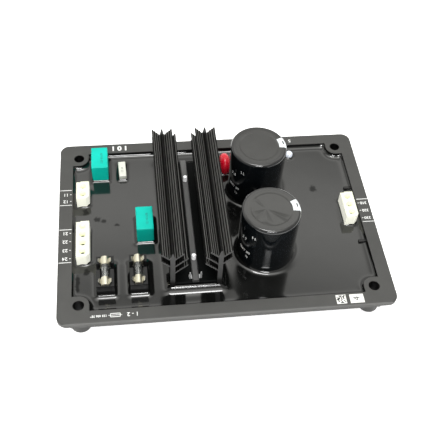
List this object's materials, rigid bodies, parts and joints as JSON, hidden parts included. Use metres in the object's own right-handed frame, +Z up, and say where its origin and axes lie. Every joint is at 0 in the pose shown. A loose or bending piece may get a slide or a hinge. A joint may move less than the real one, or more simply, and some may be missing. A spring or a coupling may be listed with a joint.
{
  "type": "automatic voltage regulator",
  "caption": "Potted automatic voltage regulator for a generator: moulded tray with feet and bolt holes, finned heat sinks, capacitors, fuses and pin headers standing in resin.",
  "frame": {"origin": "middle of the tray on the surface that its feet stand on", "axes": "+X along the long side, to the right in the picture; +Y to the back; +Z up, away from the feet"},
  "size_m": [0.2, 0.14, 0.0562],
  "materials": {
    "tray_plastic": "fine matt moulded grain",
    "potting_resin": "glossy poured surface with menisci",
    "board_laminate": "solder mask",
    "black_anodised": "black anodised extrusion",
    "carrier_plastic": "satin moulded",
    "bar_steel": "dark phosphated",
    "bright_steel": "bright plated",
    "device_epoxy": "moulded epoxy",
    "can_aluminium": "drawn can",
    "sleeve_film": "shrunk glossy film",
    "end_disc": "satin film disc",
    "teal_case": "moulded case",
    "white_case": "moulded case",
    "red_coating": "dipped epoxy",
    "lamp_lens": "diffusing lens",
    "nylon": "natural nylon",
    "tinned_brass": "tinned",
    "holder_plastic": "satin moulded",
    "spring_brass": "nickel plated",
    "fuse_glass": "clear tube",
    "cap_brass": "nickel plated",
    "fuse_wire": "drawn wire"
  },
  "bodies": {
    "root": {"tray": "tray_plastic", "potting_resin": "potting_resin", "circuit_board": "board_laminate", "left_heat_sink": "black_anodised", "right_heat_sink": "black_anodised", "sink_carrier": "carrier_plastic", "carrier_bar": "bar_steel", "carrier_studs": "bright_steel", "bar_clips": "bright_steel", "left_front_device": "device_epoxy", "left_rear_device": "device_epoxy", "right_front_device": "device_epoxy", "right_rear_device": "device_epoxy", "device_screws": "bright_steel", "upper_film_capacitor": "teal_case", "lower_film_capacitor": "teal_case", "small_film_capacitor": "white_case", "varistor": "red_coating", "indicator_lamp": "lamp_lens", "front_capacitor_can": "can_aluminium", "front_capacitor_sleeve": "sleeve_film", "front_capacitor_disc": "end_disc", "rear_capacitor_can": "can_aluminium", "rear_capacitor_sleeve": "sleeve_film", "rear_capacitor_disc": "end_disc", "two_way_header": "nylon", "two_way_pins": "tinned_brass", "four_way_header": "nylon", "four_way_pins": "tinned_brass", "three_way_header": "nylon", "three_way_pins": "tinned_brass", "left_fuse_holder": "holder_plastic", "left_fuse_clips": "spring_brass", "left_fuse_glass": "fuse_glass", "left_fuse_caps": "cap_brass", "left_fuse_wire": "fuse_wire", "right_fuse_holder": "holder_plastic", "right_fuse_clips": "spring_brass", "right_fuse_glass": "fuse_glass", "right_fuse_caps": "cap_brass", "right_fuse_wire": "fuse_wire"}
  },
  "joints": []
}
